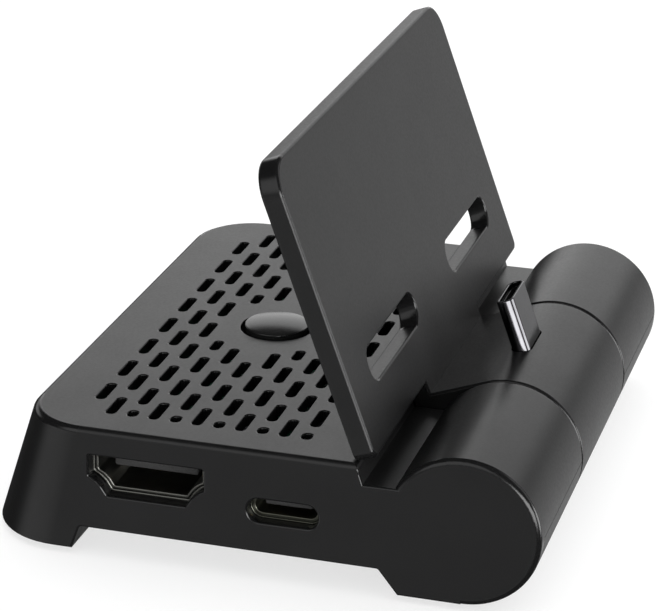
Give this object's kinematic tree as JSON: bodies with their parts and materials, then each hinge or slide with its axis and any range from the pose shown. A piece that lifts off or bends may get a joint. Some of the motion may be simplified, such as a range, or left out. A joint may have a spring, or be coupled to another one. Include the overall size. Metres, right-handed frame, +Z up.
{
  "type": "folding console dock",
  "caption": "Pocket television dock for a handheld console: vented base with side ports and a button, and a hinged cradle plate with a plug that folds under the base.",
  "frame": {"origin": "middle of the footprint, on the surface that the foot pads stand on", "axes": "+X along the hinge, with the HDMI and USB-C sockets on the -X side; +Y from the hinge to the vented back; +Z up"},
  "size_m": [0.08, 0.0754, 0.056],
  "materials": {
    "shell": "fine matte moulded texture",
    "cradle": "fine matte moulded texture",
    "button": "semi-gloss dome",
    "rubber": "soft matte",
    "screw": "blackened",
    "steel": "plain stamped",
    "socket": "plated and stamped",
    "plug": "polished plating",
    "insulator": "satin moulded",
    "board": "solder mask over glass laminate",
    "chip": "moulded package",
    "can": "plain",
    "ferrite": "pressed ferrite",
    "housing": "natural nylon",
    "lead": "smooth jacket"
  },
  "bodies": {
    "base": {"top_shell": "shell", "bottom_cover": "shell", "front_foot_pad_left": "rubber", "front_foot_pad_right": "rubber", "rear_foot_pad_left": "rubber", "rear_foot_pad_right": "rubber", "cover_screw_1": "screw", "cover_screw_2": "screw", "cover_screw_3": "screw", "cover_screw_4": "screw", "main_board": "board", "board_screw_1": "screw", "board_screw_2": "screw", "board_screw_3": "screw", "hdmi_socket_shell": "socket", "hdmi_socket_tongue": "insulator", "usb_c_socket_shell": "socket", "usb_c_socket_tongue": "insulator", "usb_a_socket_shell": "socket", "usb_a_socket_tongue": "insulator", "video_chip": "chip", "power_chip": "chip", "hub_chip": "chip", "power_inductor": "ferrite", "crystal": "can", "capacitor_left": "can", "capacitor_right": "can", "board_connector": "housing", "switch_body": "chip", "hinge_bracket_left": "steel", "hinge_bracket_right": "steel", "hinge_screw_left_1": "screw", "hinge_screw_left_2": "screw", "hinge_screw_right_1": "screw", "hinge_screw_right_2": "screw", "hinge_shaft": "steel", "hinge_tube": "steel", "hinge_lead": "lead"},
    "cradle": {"cradle": "cradle", "drum_lid": "cradle", "lid_screw_left": "screw", "lid_screw_right": "screw", "friction_clip": "steel", "plug_board": "board", "plug_board_connector": "housing", "plug_shell": "plug", "plug_insert": "insulator"},
    "button": {"mode_button": "button", "switch_plunger": "insulator"}
  },
  "joints": [
    {"name": "cradle_fold", "type": "hinge", "parent": "base", "child": "cradle", "pos_m": [0, -0.02775, 0.0108], "axis": [1, 0, 0], "range_deg": [0, 290]},
    {"name": "mode_button_press", "type": "slide", "parent": "base", "child": "button", "axis": [0, 0, -1], "range_m": [0, 0.0008], "stiffness_N_per_m": 600, "springref_m": -0.0008}
  ]
}
